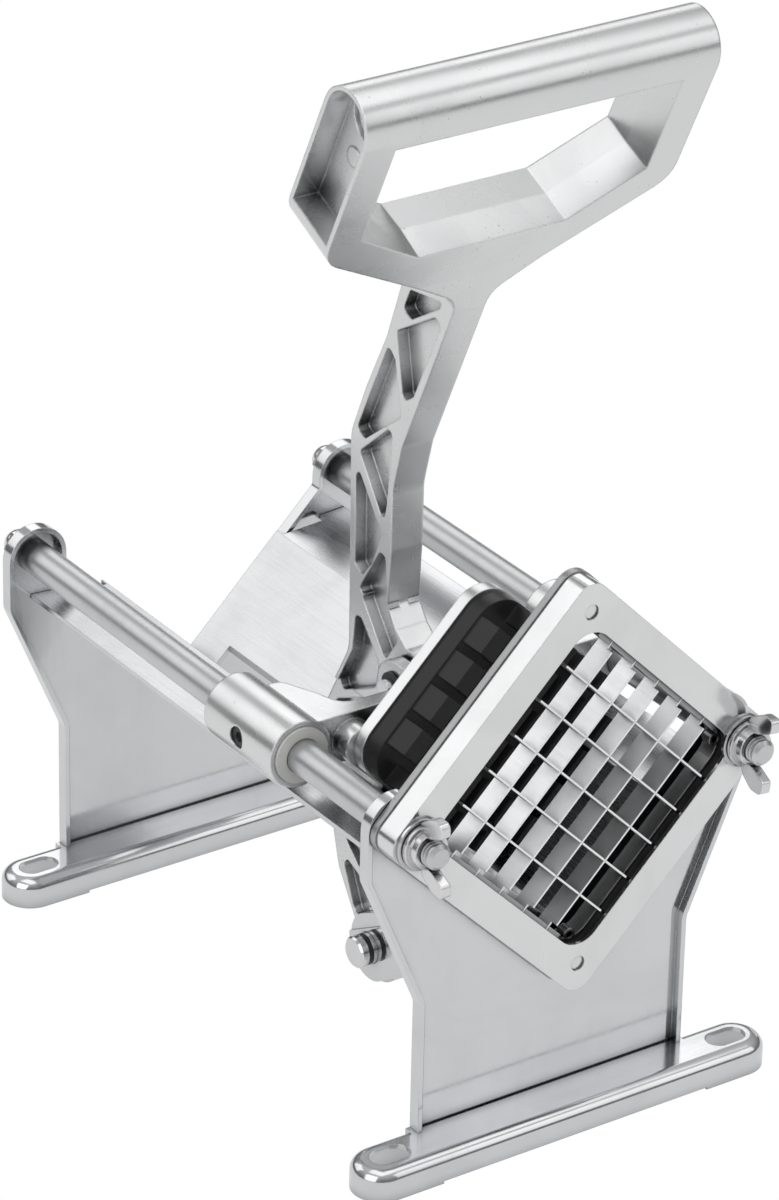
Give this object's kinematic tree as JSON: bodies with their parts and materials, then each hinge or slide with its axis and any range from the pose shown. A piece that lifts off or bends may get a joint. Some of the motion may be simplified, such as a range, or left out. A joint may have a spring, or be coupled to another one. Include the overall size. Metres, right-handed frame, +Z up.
{
  "type": "french fry cutter",
  "caption": "Bench press that pushes a potato through a square blade grid: lever, sliding pegged pusher on two rails, V trough, two stands.",
  "frame": {"origin": "on the floor below the middle of the machine's overall width and depth", "axes": "+X to the right seen from the front, -Y towards the blades where the strips come out, +Z up"},
  "size_m": [0.144, 0.234, 0.3246],
  "materials": {
    "stainless_sheet": "satin",
    "rail_steel": "fine turned",
    "bright_steel": "bright",
    "blade_steel": "ground",
    "polished_cover": "polished",
    "cast_aluminium": "polished casting",
    "black_plastic": "semi-matt",
    "bush_plastic": "matt",
    "black_steel": "blackened"
  },
  "bodies": {
    "frame": {"front_foot": "stainless_sheet", "rear_foot": "stainless_sheet", "front_plate": "stainless_sheet", "rear_plate": "stainless_sheet", "trough": "stainless_sheet", "left_rail": "rail_steel", "right_rail": "rail_steel", "rear_washers": "bright_steel", "rear_cap_nuts": "bright_steel", "knife_frame": "cast_aluminium", "blade_holder": "black_plastic", "rising_blades": "blade_steel", "falling_blades": "blade_steel", "knife_cover": "polished_cover", "cover_pins": "bright_steel", "front_washers": "bright_steel", "link_bracket": "stainless_sheet"},
    "left_wing_nut": {"left_wing_nut": "bright_steel"},
    "right_wing_nut": {"right_wing_nut": "bright_steel"},
    "pusher": {"carriage": "cast_aluminium", "rail_bushes": "bush_plastic", "bush_screws": "black_steel", "pusher_plate": "cast_aluminium", "pusher_block": "black_plastic", "pusher_screws": "bright_steel", "hinge_pin": "bright_steel", "hinge_washers": "bright_steel", "hinge_clips": "black_steel"},
    "lever": {"lever": "cast_aluminium", "pivot_pin": "bright_steel", "pivot_rings": "black_steel"},
    "link": {"left_link": "stainless_sheet", "right_link": "stainless_sheet", "link_pin": "bright_steel", "link_sleeve": "bright_steel"}
  },
  "joints": [
    {"name": "pusher_slide", "type": "slide", "parent": "frame", "child": "pusher", "axis": [0, 1, 0], "range_m": [-0.034, 0.07]},
    {"name": "lever_hinge", "type": "hinge", "parent": "pusher", "child": "lever", "pos_m": [0, -0.024, 0.1133], "axis": [1, 0, 0], "range_deg": [-37.8, 18.4]},
    {"name": "link_hinge", "type": "hinge", "parent": "lever", "child": "link", "pos_m": [0, -0.012, 0.0183], "axis": [1, 0, 0], "range_deg": [-20.7, 42.5]},
    {"name": "left_nut_turn", "type": "hinge", "parent": "frame", "child": "left_wing_nut", "pos_m": [-0.0562, -0.1057, 0.1133], "axis": [0, -1, 0], "continuous": true},
    {"name": "right_nut_turn", "type": "hinge", "parent": "frame", "child": "right_wing_nut", "pos_m": [0.0562, -0.1057, 0.1133], "axis": [0, -1, 0], "continuous": true}
  ],
  "couplings": [
    {"joint": "lever_hinge", "follows": "pusher_slide", "rad_per_m": -9.4032},
    {"joint": "link_hinge", "follows": "pusher_slide", "rad_per_m": 10.57}
  ]
}
